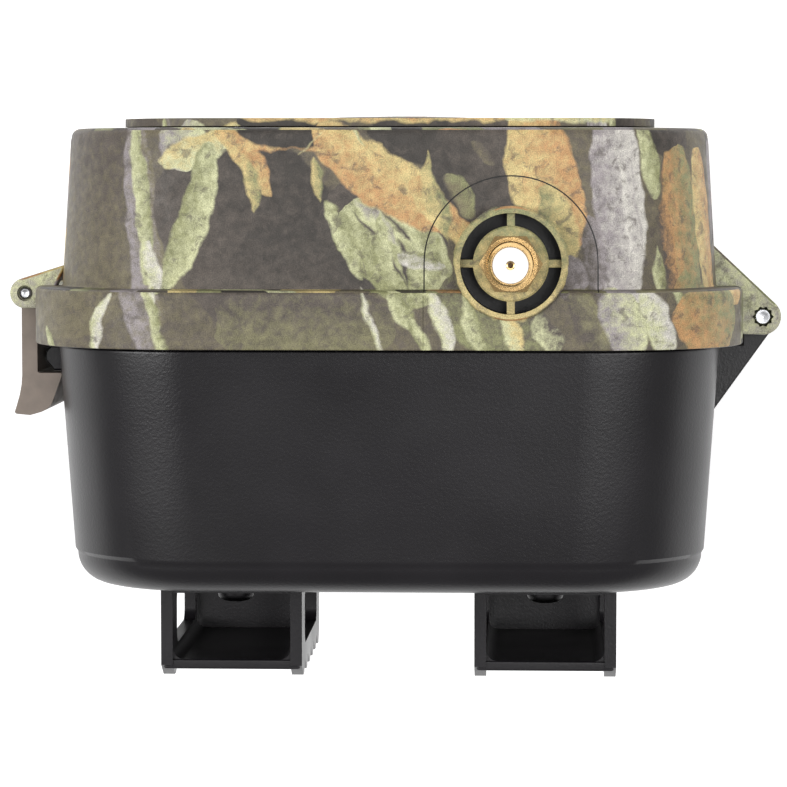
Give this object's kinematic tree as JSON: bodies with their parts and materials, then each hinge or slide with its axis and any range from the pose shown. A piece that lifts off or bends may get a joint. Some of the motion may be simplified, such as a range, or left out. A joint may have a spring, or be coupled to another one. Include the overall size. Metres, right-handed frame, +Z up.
{
  "type": "trail camera",
  "caption": "Clamshell trail camera: hinged front with lens, lamp window and motion sensor, battery case behind, side latches, antenna jack and strap brackets.",
  "frame": {"origin": "under the middle of the whole object's box, on the plane that it stands on", "axes": "+Z up, -Y towards what the camera looks at, +Y towards the tree, +X towards the latch side, -X towards the hinge side"},
  "size_m": [0.1176, 0.0876, 0.1575],
  "materials": {
    "camo_plastic": "satin moulded ABS with a printed leaf and bark camouflage film",
    "black_plastic": "fine satin texture",
    "latch_plastic": "satin taupe",
    "dark_window": "polished infrared-pass plastic",
    "white_lens": "translucent white polyethylene",
    "glass": "coated optical glass",
    "circuit_board": "green solder mask",
    "rubber": "matt elastomer",
    "steel": "plated steel",
    "gold_plate": "gold plated brass",
    "brass": "turned brass",
    "insulator": "white PTFE",
    "cell_wrap": "printed shrink sleeve",
    "card_plastic": "moulded plastic",
    "key_rubber": "grey silicone",
    "screen": "screen glass over black",
    "cable_sheath": "extruded sheath"
  },
  "bodies": {
    "case": {"rear_case": "black_plastic", "battery_tray": "black_plastic", "battery_1": "cell_wrap", "battery_2": "cell_wrap", "battery_3": "cell_wrap", "battery_4": "cell_wrap", "battery_5": "cell_wrap", "battery_6": "cell_wrap", "battery_7": "cell_wrap", "battery_8": "cell_wrap", "contact_strip_lower": "steel", "contact_strip_middle": "steel", "contact_strip_upper": "steel", "spring_contacts": "black_plastic", "tripod_insert": "brass", "strap_bracket_left": "black_plastic", "strap_bracket_right": "black_plastic", "bracket_screw_left_1": "steel", "bracket_screw_left_2": "steel", "bracket_screw_right_1": "steel", "bracket_screw_right_2": "steel", "catch_keeper_lower": "black_plastic", "catch_keeper_upper": "black_plastic"},
    "cover": {"front_cover": "camo_plastic", "front_bezel": "camo_plastic", "ir_window": "dark_window", "led_board": "circuit_board", "led_array": "white_lens", "lens_housing": "black_plastic", "lens_glass": "glass", "camera_module": "circuit_board", "pir_lens": "white_lens", "pir_sensor": "steel", "light_sensor": "dark_window", "main_board": "circuit_board", "inner_panel": "black_plastic", "lcd_screen": "screen", "card_slot": "steel", "usb_port": "steel", "dc_jack": "steel", "sma_jack": "gold_plate", "sma_nut": "gold_plate", "sma_insulator": "insulator", "coax_pigtail": "cable_sheath", "hinge_pin_upper": "steel", "hinge_pin_lower": "steel", "latch_pin_upper": "steel", "latch_pin_lower": "steel", "cover_gasket": "rubber"},
    "key_ok": {"key_ok": "key_rubber"},
    "key_up": {"key_up": "key_rubber"},
    "key_down": {"key_down": "key_rubber"},
    "key_left": {"key_left": "key_rubber"},
    "key_right": {"key_right": "key_rubber"},
    "key_menu": {"key_menu": "key_rubber"},
    "mode_switch": {"mode_switch": "key_rubber"},
    "sd_card": {"sd_card": "card_plastic"},
    "port_flap": {"port_flap": "rubber"},
    "latch_upper": {"latch_lever_upper": "latch_plastic"},
    "latch_lower": {"latch_lever_lower": "latch_plastic"}
  },
  "joints": [
    {"name": "cover_hinge", "type": "hinge", "parent": "case", "child": "cover", "pos_m": [-0.05602, -0.01172, 0.074], "axis": [0, 0, -1], "range_deg": [0, 150], "deforming": ["catch_keeper_upper", "catch_keeper_lower"]},
    {"name": "latch_upper_hinge", "type": "hinge", "parent": "cover", "child": "latch_upper", "pos_m": [0.05647, -0.01523, 0.111], "axis": [0, 0, -1], "range_deg": [0, 110], "deforming": ["catch_keeper_upper"]},
    {"name": "latch_lower_hinge", "type": "hinge", "parent": "cover", "child": "latch_lower", "pos_m": [0.05647, -0.01523, 0.037], "axis": [0, 0, -1], "range_deg": [0, 110], "deforming": ["catch_keeper_lower"]},
    {"name": "key_ok_press", "type": "slide", "parent": "cover", "child": "key_ok", "axis": [0, -1, 0], "range_m": [0, 0.0008], "stiffness_N_per_m": 900},
    {"name": "key_up_press", "type": "slide", "parent": "cover", "child": "key_up", "axis": [0, -1, 0], "range_m": [0, 0.0008], "stiffness_N_per_m": 900},
    {"name": "key_down_press", "type": "slide", "parent": "cover", "child": "key_down", "axis": [0, -1, 0], "range_m": [0, 0.0008], "stiffness_N_per_m": 900},
    {"name": "key_left_press", "type": "slide", "parent": "cover", "child": "key_left", "axis": [0, -1, 0], "range_m": [0, 0.0008], "stiffness_N_per_m": 900},
    {"name": "key_right_press", "type": "slide", "parent": "cover", "child": "key_right", "axis": [0, -1, 0], "range_m": [0, 0.0008], "stiffness_N_per_m": 900},
    {"name": "key_menu_press", "type": "slide", "parent": "cover", "child": "key_menu", "axis": [0, -1, 0], "range_m": [0, 0.0008], "stiffness_N_per_m": 900},
    {"name": "mode_switch_slide", "type": "slide", "parent": "cover", "child": "mode_switch", "axis": [1, 0, 0], "range_m": [0, 0.009]},
    {"name": "sd_card_slide", "type": "slide", "parent": "cover", "child": "sd_card", "axis": [0, 0, -1], "range_m": [0, 0.028]},
    {"name": "port_flap_hinge", "type": "hinge", "parent": "cover", "child": "port_flap", "pos_m": [0.04998, -0.03572, 0.074], "axis": [0, 0, -1], "range_deg": [0, 120]}
  ]
}
